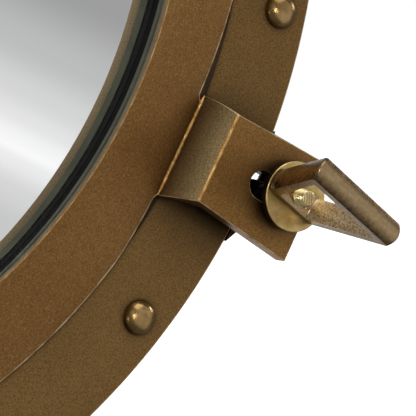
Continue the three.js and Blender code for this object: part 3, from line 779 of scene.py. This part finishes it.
def add_door():
    # Sides 2 and 4 take the bare edge with painted highlight; the crest sides a painted highlight, the wall
    # sides a painted sheen.
    marks = {2: 2, 3: 4, 4: 2, **dict.fromkeys(CREST_SIDES, 1), **dict.fromkeys(WALL_SIDES, 3)}
    materials = [door_paint, crest_highlight_edge, bare_edge_highlight, wall_sheen_paint, bevel_paint]
    ring = turned("door_cone", door_profile, materials, mark=lambda i: marks.get(i, 0))
    keep(ring, "door", "bronze_paint", "door_ring", "pane_cell")

    outer = CELL_INNER - GAP
    trim = fillet([
        (TRIM_FOOT, TRIM_LOW), (outer, TRIM_LOW), (outer, TRIM_TOP), (TRIM_BEAD, TRIM_TOP),
    ], {0: 0.3, 3: 0.5})
    keep(turned("trim_bead", trim, [trim_grey]), "door", "trim_grey", "trim_ring")

    seal = fillet(ring_section(GLAZING_INNER, outer, PANE_FRONT + 0.05, TRIM_LOW - 0.1), {0: 0.4, 3: 0.4})
    keep(turned("glazing_seal", seal, [black_rubber]), "door", "black_rubber", "glazing_gasket")

    glass = [(0, PANE_FRONT), *fillet([
        (0, PANE_FRONT), (PANE_RADIUS, PANE_FRONT), (PANE_RADIUS, PANE_BACK), (0, PANE_BACK),
    ], {1: 0.6, 2: 0.4}, closed=False)[1:-1], (0, PANE_BACK)]
    pane = turned("mirror_glass", glass, [mirror_glass], closed=False)
    keep(pane, "door", "mirror_glass", "mirror_pane")

    board = ring_section(0, PANE_RADIUS, PANE_BACK - GAP, BOARD_BACK)
    keep(turned("back_board", board, [hardboard], closed=False), "door", "hardboard", "backing_board")

    clamp = fillet(ring_section(RETAINER_INNER, RETAINER_OUTER, RETAINER_BACK, RETAINER_FRONT), 0.4)
    keep(turned("clamp_ring", clamp, [door_paint]), "door", "bronze_paint", "retaining_ring")


def pan_screw(radius, height, shank, length, slot_turn):
    """A slotted pan-head screw whose head sits on Z = 0 and faces +Z."""
    brim, shoulder, half = height * 0.45, height * 0.3, radius * 0.14
    head = fillet([(0, height), (radius * 0.75, height), (radius, brim), (radius, 0), (shank, 0),
                   (shank, -length), (0, -length)], {1: 0.4, 2: 0.3}, closed=False)
    bm = revolve(head, 32, closed=False)
    bmesh.ops.remove_doubles(bm, verts=bm.verts, dist=WELD)
    turn = Matrix.Rotation(math.radians(slot_turn), 3, "Z")
    normal = turn @ Vector((0, 1, 0))
    for side in (half, -half):
        geometry = bm.verts[:] + bm.edges[:] + bm.faces[:]
        bmesh.ops.bisect_plane(bm, geom=geometry, plane_co=normal * side, plane_no=normal)

    def in_slot(point, share):
        return point.z > shoulder and abs((turn.transposed() @ point).y) < half * share

    for vert in bm.verts:
        if in_slot(vert.co, 0.98):
            vert.co.z = brim
    slot = [f for f in bm.faces if in_slot(f.calc_center_median(), 0.99)]
    made = bmesh.ops.extrude_face_region(bm, geom=slot)
    for vert in made["geom"]:
        if isinstance(vert, bmesh.types.BMVert):
            vert.co.z = min(vert.co.z, height) * 0.42
    bmesh.ops.delete(bm, geom=[f for f in slot if f.is_valid], context="FACES_ONLY")
    return bm


def add_screw(name, screw, place, material, body, slot, node):
    keep(finish_object(name, screw, [material], matrix=place), body, slot, node)


def add_retaining_screws():
    dice = random.Random(5)
    for i in range(RETAINER_SCREWS):
        turn = at_angle(RETAINER_SCREW_START + 360 / RETAINER_SCREWS * i)
        seat = shift(RETAINER_SCREW_CIRCLE, 0, RETAINER_BACK - SCREW_LIFT)
        place = turn @ seat @ turn_about("X", math.pi)
        screw = pan_screw(3.0, 1.8, 1.4, 6.5, dice.uniform(0, 180))
        add_screw(f"clamp_screw_{i + 1}", screw, place,
                  zinc_steel, "door", "steel", f"retaining_screw_{i + 1}")


def lug_mesh():
    """A bent plate: a bulging ramp up from the door's rim, then a flat, slotted end."""
    bm = bmesh.new()
    ramp_steps = 9
    underside = LUG_TOP - LUG_THICKNESS
    root, bulge, crease = (Vector(p) for p in ((LUG_ROOT, 1.4), (LUG_ROOT + 2.0, 9.4), (LUG_CREASE, LUG_TOP)))
    under = [Vector(p) for p in fillet(
        [(LUG_ROOT, 0.4), (247.0, 0.4), (255.5, underside), (262.0, underside)],
        {2: 5.0}, steps=ramp_steps - 3, closed=False)]
    ramp = []
    for i in range(ramp_steps + 1):
        s = i / ramp_steps
        ramp.append((1 - s) ** 2 * root + 2 * s * (1 - s) * bulge + s * s * crease)
    first = ramp[0].lerp(ramp[1], 0.35)
    corner = [tuple(ramp[-2]), tuple(crease), (LUG_CREASE + 4, LUG_TOP)]
    bend = fillet(corner, {1: CREASE_RADIUS}, closed=False)
    top_line = [ramp[0], first, *ramp[1:-1], *(Vector(p) for p in bend[1:-1])]

    def half_width(radius):
        if radius < LUG_CREASE:
            share = (radius - LUG_ROOT) / (LUG_CREASE - LUG_ROOT)
            return LUG_ROOT_HALF + (LUG_CREASE_HALF - LUG_ROOT_HALF) * share
        share = (radius - LUG_CREASE) / (LUG_END - LUG_CREASE)
        return LUG_CREASE_HALF + (LUG_END_HALF - LUG_CREASE_HALF) * share

    def row(point, side):
        return bm.verts.new((point.x, side * half_width(point.x), point.y))

    top = {side: [row(p, side) for p in top_line] for side in (-1, 1)}
    low = {side: [row(p, side) for p in under] for side in (-1, 1)}
    for line in (top, low):
        last = len(line[1]) - 1
        for i in range(last):
            face = bm.faces.new((line[-1][i], line[-1][i + 1], line[1][i + 1], line[1][i]))
            if line is top:
                # The root strip and the bend take the crease colour, partly a painted highlight; the ramp
                # takes the paint with painted sheen.
                face.material_index = 1 if i == 0 or i > last - len(bend) + 2 else 4

    arc = []
    for k in range(SLOT_STEPS + 1):
        y, x = polar(SLOT_HALF, math.pi * k / SLOT_STEPS)
        arc.append((SLOT_END + SLOT_HALF - x, y))
    slot = [(LUG_END, SLOT_HALF), *arc, (LUG_END, -SLOT_HALF)]
    faces = {}
    for height, line in ((LUG_TOP, top), (underside, low)):
        mouth = [bm.verts.new((x, y, height)) for x, y in slot]
        ends = {side: bm.verts.new((LUG_END, side * LUG_END_HALF, height)) for side in (-1, 1)}
        bm.faces.new([line[1][-1], ends[1], *mouth, ends[-1], line[-1][-1]])
        faces[height] = (mouth, ends)
    (mouth_a, ends_a), (mouth_b, ends_b) = faces[LUG_TOP], faces[underside]
    # The slot's wall is painted dark as shade.
    for a, b, c, d in zip(mouth_a, mouth_a[1:], mouth_b[1:], mouth_b):
        bm.faces.new((a, b, c, d)).material_index = 2
    bm.faces.new((ends_a[1], mouth_a[0], mouth_b[0], ends_b[1]))
    bm.faces.new((mouth_a[-1], ends_a[-1], ends_b[-1], mouth_b[-1]))
    for side in (-1, 1):
        bm.faces.new([*top[side], ends_a[side], ends_b[side], *reversed(low[side])])
    bm.faces.new((top[-1][0], top[1][0], low[1][0], low[-1][0]))
    return bm


def braze_bead():
    """The wavering fillet of braze along the lug's root."""
    bm = bmesh.new()
    dice = random.Random(3)
    steps, sides = 44, 12
    rows = []
    for i in range(steps + 1):
        share = 2 * i / steps - 1
        fade = min(1.0, 0.35 + 5 * (1 - abs(share)))
        radius = BEAD_RADIUS * (1 + dice.uniform(-0.12, 0.12)) * fade
        row = []
        for k in range(sides):
            x, z = polar(radius, TAU * k / sides)
            row.append(bm.verts.new((
                LUG_ROOT - 0.1 + x, share * (LUG_ROOT_HALF - 0.2), cone_height(LUG_ROOT) - 0.25 + z)))
        rows.append(row)
    for this, following in zip(rows, rows[1:]):
        join_rows(bm, this, following)
    bm.faces.new(rows[0])
    bm.faces.new(rows[-1])
    return bm


def add_lugs():
    materials = [lit_lug_paint, crease_gold_highlight, slot_wall_shade, bare_edge_highlight, ramp_sheen_paint]
    for side, angle in LUG_ANGLES.items():
        turn = at_angle(angle)
        lug = finish_object(f"dog_lug_plate_{side}", lug_mesh(), materials, smooth_angle=60, matrix=turn)
        # The lug's rounded edges take the bare edge colour, partly a painted highlight.
        soften(lug, 0.4, edge_material=3)
        keep(lug, "door", "bronze_paint", f"dog_lug_{side}")
        bead = finish_object(f"lug_braze_{side}", braze_bead(), [crease_gold_highlight], smooth_angle=60, matrix=turn)
        keep(bead, "door", "bronze_paint", f"dog_lug_{side}")


def along_x():
    return shift(0, HINGE_Y, HINGE_HEIGHT) @ turn_about("Y")


def barrel(name, low, high):
    outline = fillet(ring_section(KNUCKLE_BORE, KNUCKLE_RADIUS, low, high), 0.35)
    return turned(name, outline, [door_paint], steps=48, matrix=along_x())


def add_hinge():
    rise = GAP + LEAF_THICKNESS  # of a leaf's face over what it lies on
    corners = ring_section(-HINGE_HALF, HINGE_HALF, BASE_LEAF_LOW, BASE_LEAF_HIGH)
    corners = fillet(corners, {2: 5.0, 3: 5.0}, steps=8)
    leaf = finish_object("hinge_leaf_fixed", prism(corners, GAP, rise), [door_paint, paint_edge])
    soften(leaf, 0.5, edge_material=1)
    keep(leaf, "base", "bronze_paint", "hinge_base_leaf")
    start = KNUCKLE_HALF + 0.4
    for side, low, high in (("right", start, HINGE_HALF), ("left", -HINGE_HALF, -start)):
        keep(barrel(f"hinge_knuckle_{side}", low, high), "base", "bronze_paint", "hinge_base_leaf")

    def under(y):
        return cone_height(y) + PAD_LIFT

    def leaf_section(name, half, points, radius):
        bm = bmesh.new()
        sides = [[bm.verts.new((x, y, h)) for y, h in points] for x in (-half, half)]
        bm.faces.new(sides[0])
        bm.faces.new(list(reversed(sides[1])))
        join_rows(bm, *sides)
        obj = finish_object(name, bm, [door_paint, paint_edge])
        soften(obj, radius, edge_material=1)
        keep(obj, "door", "bronze_paint", "hinge_door_leaf")

    root = DOOR_PAD_END - 1.5  # inside the pad, so that no two faces are flush
    leaf_section("hinge_strap", KNUCKLE_HALF, [
        (root, under(root) + 0.1), (DOOR_RADIUS, under(DOOR_RADIUS)),
        (HINGE_Y, HINGE_HEIGHT - KNUCKLE_RADIUS + 0.1), (HINGE_Y, HINGE_HEIGHT),
        (DOOR_RADIUS, under(DOOR_RADIUS) + rise), (root, under(root) + rise - 0.2),
    ], 0.4)
    leaf_section("hinge_pad", DOOR_LEAF_HALF, [
        (DOOR_LEAF_FOOT, under(DOOR_LEAF_FOOT)), (DOOR_PAD_END, under(DOOR_PAD_END)),
        (DOOR_PAD_END, under(DOOR_PAD_END) + rise), (DOOR_LEAF_FOOT, under(DOOR_LEAF_FOOT) + rise),
    ], 0.6)
    keep(barrel("hinge_knuckle_door", -KNUCKLE_HALF, KNUCKLE_HALF), "door", "bronze_paint", "hinge_door_leaf")

    near = HINGE_HALF + GAP
    far = near + 1.6
    pin = fillet([
        (0, -far), (PIN_HEAD_RADIUS, -far), (PIN_HEAD_RADIUS, -near), (PIN_RADIUS, -near),
        (PIN_RADIUS, near), (PIN_HEAD_RADIUS, near), (PIN_HEAD_RADIUS, far), (0, far),
    ], {1: 0.7, 6: 0.7}, closed=False)
    keep(turned("hinge_pin_rod", pin, [stud_brass], steps=36, closed=False, matrix=along_x()),
         "base", "bright_brass", "hinge_pin")

    for i, side in enumerate((-1, 1)):
        place = shift(side * BASE_SCREW_X, BASE_SCREW_Y, rise + SCREW_LIFT)
        add_screw(f"hinge_fixed_screw_{i + 1}", pan_screw(3.8, 1.9, 1.9, 6.5, 25 + 70 * i), place,
                  rivet_bronze, "base", "burnished_bronze", f"hinge_base_screw_{i + 1}")
        place = shift(side * DOOR_SCREW_X, DOOR_SCREW_Y, under(DOOR_SCREW_Y) + rise + SCREW_LIFT)
        place = place @ turn_about("X", -CONE_TILT)
        add_screw(f"hinge_leaf_screw_{i + 1}", pan_screw(3.8, 1.9, 1.9, 6.0, 110 - 60 * i), place,
                  rivet_bronze, "door", "burnished_bronze", f"hinge_door_screw_{i + 1}")


# ---------------- dogs


def on_bolt(angle):
    return at_angle(angle) @ shift(BOLT_CIRCLE, 0, 0)


def on_pivot(angle):
    return on_bolt(angle) @ shift(0, 0, PIVOT_HEIGHT) @ turn_about("X")


def add_bracket(side, angle):
    name = f"dog_bracket_{side}"
    materials, turn = [base_paint, paint_edge], at_angle(angle)
    for way, mark in ((1, "upper"), (-1, "lower")):
        arc = []
        for k in range(7):
            y = EAR_INNER + (SHOULDER_HALF - EAR_INNER) * k / 6
            arc.append((math.sqrt((FLANGE_RADIUS + 0.5) ** 2 - y ** 2), y))
        outline = [(EAR_END, EAR_INNER), *arc, (SHOULDER_RADIUS + 0.6, SHOULDER_HALF),
                   (EAR_NECK, EAR_OUTER), (EAR_END, EAR_OUTER)]
        corners = [(x, way * y) for x, y in outline]
        ear = finish_object(f"ear_{side}_{mark}", prism(corners, COLLAR_BACK, 0), materials, matrix=turn)
        soften(ear, 0.5, angle=28.0, edge_material=1)
        keep(ear, "base", "flange_paint", name)
    corners = ring_section(BRIDGE_INNER, BRIDGE_OUTER, -SHOULDER_HALF, SHOULDER_HALF)
    bridge = prism(corners, COLLAR_BACK, COLLAR_FRONT)
    bridge = finish_object(f"ear_bridge_{side}", bridge, materials, matrix=turn)
    soften(bridge, 0.4, 2, 28.0, edge_material=1)
    keep(bridge, "base", "flange_paint", name)


def add_pivot(side, angle):
    reach = EAR_OUTER - GAP
    bm = threaded(PIVOT_RADIUS, PIVOT_PITCH, -reach, reach, steps=28, rows_per_pitch=8, dome=0.15)
    pin = finish_object(f"pivot_screw_{side}", bm, [dark_steel], smooth_angle=60, matrix=on_pivot(angle))
    keep(pin, "base", "bright_brass", f"pivot_pin_{side}")


def add_bolt(side, angle):
    node = f"swing_bolt_{side}"
    bore = PIVOT_RADIUS + 0.35
    outline = fillet(ring_section(bore, EYE_RADIUS, -EYE_HALF, EYE_HALF), 0.5)
    # The eye is painted dark as shade.
    eye = turned(f"bolt_eye_{side}", outline, [shade_dark_brass], steps=48, matrix=on_pivot(angle))
    keep(eye, f"bolt_{side}", "bright_brass", node)
    start = PIVOT_HEIGHT + 3.4
    bm = threaded(BOLT_RADIUS, BOLT_PITCH, start, BOLT_TIP - TIP_DOME, steps=48, rows_per_pitch=10,
                  dome=TIP_DOME, taper=STUD_TAPER)
    # The stud below the washer is painted dark as shade.
    for face in bm.faces:
        middle = face.calc_center_median().z
        face.material_index = 1 if middle < WASHER_TOP else 2 if middle > BOLT_TIP - 0.05 else 0
    stud = finish_object(f"bolt_stud_{side}", bm, [stud_brass, shade_dark_brass, sawn_brass], smooth_angle=60,
                         matrix=on_bolt(angle))
    keep(stud, f"bolt_{side}", "bright_brass", node)


def bail_mesh():
    """The nut's trapezoid loop, crowned across its thickness, inside and out."""
    bm = bmesh.new()
    # The rubbed attribute carries wear and a painted highlight along the crown.
    rubbed = bm.verts.layers.float.new("rubbed")
    layers = []
    for k in range(BAIL_LAYERS + 1):
        across = -math.cos(math.pi * k / BAIL_LAYERS)
        inset = BAIL_CROWN * across ** 2
        outer = [
            (-BAIL_BASE_HALF + inset, BOSS_TOP - 0.4), (BAIL_BASE_HALF - inset, BOSS_TOP - 0.4),
            (BAIL_TOP_HALF - inset, BAIL_TOP - inset), (-BAIL_TOP_HALF + inset, BAIL_TOP - inset),
        ]
        base = BAIL_BASE_HALF - BAIL_ARM + 0.7 * inset
        top = BAIL_TOP_HALF - BAIL_ARM - 0.6 + 0.7 * inset
        inner = [
            (-base, BOSS_TOP + BAIL_RIB - 0.7 * inset), (base, BOSS_TOP + BAIL_RIB - 0.7 * inset),
            (top, BAIL_TOP - BAIL_BAR + 0.7 * inset), (-top, BAIL_TOP - BAIL_BAR + 0.7 * inset),
        ]
        layer = []
        for line in (fillet(outer, BAIL_OUTER_CORNERS, 6), fillet(inner, BAIL_INNER_CORNERS, 6)):
            layer.append([bm.verts.new((x, y, BAIL_HALF_THICKNESS * across)) for x, y in line])
        layers.append(layer)
        # Painted highlight and shade: high along the crown's middle and low at its edges, partly wear.
        for vert in layer[0]:
            vert[rubbed] = 0.12 + 0.62 * (1 - across ** 2) ** 3
        for vert in layer[1]:
            vert[rubbed] = 0.75 if vert.co.y < BOSS_TOP + BAIL_RIB + 1 else 0.3
    count = len(layers[0][0])
    for i in range(count):
        j = (i + 1) % count
        run = layers[0][1][i].co - layers[0][1][j].co
        for this, following in zip(layers, layers[1:]):
            for way in (0, 1):
                face = bm.faces.new((this[way][i], this[way][j], following[way][j], following[way][i]))
                face.material_index = int(way == 1 and abs(run.x) < abs(run.y))  # the inside of an arm
        for layer in (layers[0], layers[-1]):
            bm.faces.new((layer[0][i], layer[0][j], layer[1][j], layer[1][i]))
    return bm


def add_nut(side, angle):
    body = f"nut_{side}"
    node = f"wing_nut_{side}"
    bore = BOLT_RADIUS + 0.15
    # The washer is painted dark as shade.
    washer = fillet(ring_section(BOLT_RADIUS + 0.4, WASHER_RADIUS, WASHER_BASE, WASHER_TOP), 0.2)
    keep(turned(f"washer_{side}", washer, [shade_dark_brass], steps=48, matrix=on_bolt(angle)),
         f"washer_{side}", "bright_brass", f"nut_washer_{side}")

    turn = on_bolt(angle) @ at_angle(BAIL_TURN)
    boss = fillet([
        (bore, NUT_BASE + 1.2), (WASHER_RADIUS + 0.3, NUT_BASE + 1.2), (WASHER_RADIUS + 0.3, NUT_BASE),
        (BOSS_RADIUS, NUT_BASE), (BOSS_RADIUS, BOSS_TOP), (bore, BOSS_TOP),
    ], {3: 0.5, 4: 0.6, 5: 0.5})
    boss = turned(f"nut_boss_{side}", boss, [boss_brass, shade_dark_brass], steps=80,
                  mark=lambda i: int(i <= BOSS_WALL_SIDE), matrix=turn)
    keep(boss, body, "burnished_bronze", node)

    upright = turn @ turn_about("X")
    bail = finish_object(f"nut_bail_{side}", bail_mesh(), [nut_brass, rough_brass], matrix=upright)
    soften(bail, 0.35, angle=28.0)
    keep(bail, body, "burnished_bronze", node)


def add_dogs():
    for side, angle in DOG_ANGLES.items():
        add_bracket(side, angle)
        add_pivot(side, angle)
        add_bolt(side, angle)
        add_nut(side, angle)


# ---------------- studio

AMBIENT = 0.16
FLOOR_HEIGHT = -0.3
BACKDROP_SIZE = 8  # its radius and its height, in metres
BACKDROP_SIDES = 64
MIRROR_CARD_PLACE = (1.342, -2.141, -0.342)
MIRROR_CARD_AIM = (0.05, -0.021, -0.05)
MIRROR_CARD_LIGHT = (
    (-2.0, 0.6), (2.0, 0.6), (-0.5, 0.6), (-0.25, 0.58), (-0.112, 0.59), (-0.054, 0.68),
    (-0.002, 0.86), (0.02, 0.99), (0.037, 0.92), (0.07, 0.79), (0.114, 0.68), (0.194, 0.52),
    (0.317, 0.35), (0.5, 0.4), (0.8, 0.6),
)  # metres across the card, and brightness


def area_light(name, place, aim, size, power):
    data = bpy.data.lights.new(name, "AREA")
    data.shape = "RECTANGLE"
    data.size, data.size_y = size
    data.energy = power
    lamp = bpy.data.objects.new(name, data)
    lamp.location = place
    lamp.rotation_euler = (Vector(aim) - Vector(place)).to_track_quat("-Z", "Y").to_euler()
    bpy.context.scene.collection.objects.link(lamp)


def plane(name, place, size, material, normal=(0, 0, 1)):
    x, y = size[0] / 2, size[1] / 2
    bm = bmesh.new()
    bm.faces.new([bm.verts.new(corner) for corner in ((-x, -y, 0), (x, -y, 0), (x, y, 0), (-x, y, 0))])
    obj = mesh_object(name, bm, [material])
    obj.location = place
    obj.rotation_euler = Vector(normal).to_track_quat("Z", "Y").to_euler()
    return obj


def glow(name, stops, span):
    """A card's light, from stops of (place in metres, brightness) along its own X."""
    material = bpy.data.materials.new(name)
    material.use_nodes = True
    tree = material.node_tree
    tree.nodes.clear()
    split = add_node(tree, "SeparateXYZ", Vector=add_node(tree, "TexCoord").outputs["Object"])
    spread = add_node(tree, "MapRange", Value=split.outputs["X"], From_Min=span[0], From_Max=span[1])
    ramp = add_node(tree, "ValToRGB", Fac=spread.outputs["Result"])
    light = add_node(tree, "Emission", Color=ramp.outputs["Color"])
    add_node(tree, "OutputMaterial", Surface=light.outputs["Emission"])
    ramp.color_ramp.interpolation = "EASE"
    elements = ramp.color_ramp.elements
    for i, (where, level) in enumerate(stops):
        at = (where - span[0]) / (span[1] - span[0])
        element = elements[i] if i < 2 else elements.new(at)
        element.position = at
        element.color = (level, level, level, 1)
    return material


def show(obj, camera):
    """Lets a stage piece either be seen by the camera or light the object."""
    obj.visible_camera = camera
    obj.visible_diffuse = obj.visible_glossy = obj.visible_transmission = not camera
    obj.visible_shadow = False


def pale(name, level, shine):
    """A surface of one grey level that also glows, so that it stays pale in soft light."""
    finish = Finish(name, metallic=0.0, roughness=0.8, Emission_Color=(1, 1, 1, 1), Emission_Strength=shine)
    clouds = finish.patches(400, 2, 0.3, 0.7)
    finish.color(finish.mix(clouds, (level, level, level, 1), (0.99 * level, 0.99 * level, 0.99 * level, 1)))
    return finish.material


def add_backdrop():
    """A white cylinder with a ceiling round the set, seen by the camera alone."""
    bm = bmesh.new()
    low = [bm.verts.new((*polar(BACKDROP_SIZE, TAU * k / BACKDROP_SIDES), FLOOR_HEIGHT - 0.01))
           for k in range(BACKDROP_SIDES)]
    high = [bm.verts.new((v.co.x, v.co.y, BACKDROP_SIZE)) for v in low]
    join_rows(bm, low, high)
    bm.faces.new(high)
    obj = mesh_object("backdrop", bm, [pale("white backdrop", 0.0, 1.0)])
    show(obj, camera=True)


def add_card(name, place, aim, size, turn, stops):
    """A soft studio card whose light runs along its own X."""
    light = glow(name, stops, (-size[0] / 2, size[0] / 2))
    card = plane(name, place, size, light, Vector(aim) - Vector(place))
    card.rotation_euler.rotate_axis("Z", math.radians(turn))
    show(card, camera=False)


def add_studio():
    world = bpy.data.worlds.new("studio")
    world.use_nodes = True
    background = world.node_tree.nodes["Background"]
    background.inputs["Color"].default_value = (1.0, 1.0, 1.0, 1.0)
    background.inputs["Strength"].default_value = AMBIENT
    bpy.context.scene.world = world
    bpy.context.scene.view_settings.view_transform = "Standard"
    floor_size = (2 * BACKDROP_SIZE, 2 * BACKDROP_SIZE)
    floor = plane("floor", (0, 0, FLOOR_HEIGHT), floor_size, pale("pale floor", 0.5, 0.97))
    show(floor, camera=True)
    add_backdrop()
    add_card("mirror card", MIRROR_CARD_PLACE, MIRROR_CARD_AIM, (4.0, 4.0), 117.0, MIRROR_CARD_LIGHT)
    wall = plane("white wall", (0, 2.2, 0.4), (6, 6), pale("white wall", 0.0, 0.8), (0, -1, 0))
    show(wall, camera=False)
    add_card("fill card", (-1.35, -1.7, 1.0), (0.2, 0, -0.1), (1.5, 1.5), 0.0, ((-0.75, 0.6), (0.75, 0.6)))
    add_card("strip card", (1.75, -1.2, 0.1), (0.1, 0, -0.1), (0.5, 2.4), 0.0, ((-0.25, 0.8), (0.25, 0.8)))
    area_light("key", (0.5, -0.9, 1.7), (0, 0, 0), (1.5, 1.5), 14)
    area_light("glint", (-2.6, -0.5, -0.35), (0.2, -0.03, -0.1), (0.3, 0.3), 3)
    area_light("front", (-0.5, -1.95, 0.12), (0.19, -0.03, -0.15), (0.2, 0.2), 8)
    area_light("rim", (2.6, -0.15, 0.5), (0.2, -0.03, -0.05), (0.4, 0.4), 5)


add_camera()
add_base()
add_rivets()
add_door()
add_retaining_screws()
add_lugs()
add_hinge()
add_dogs()
add_studio()
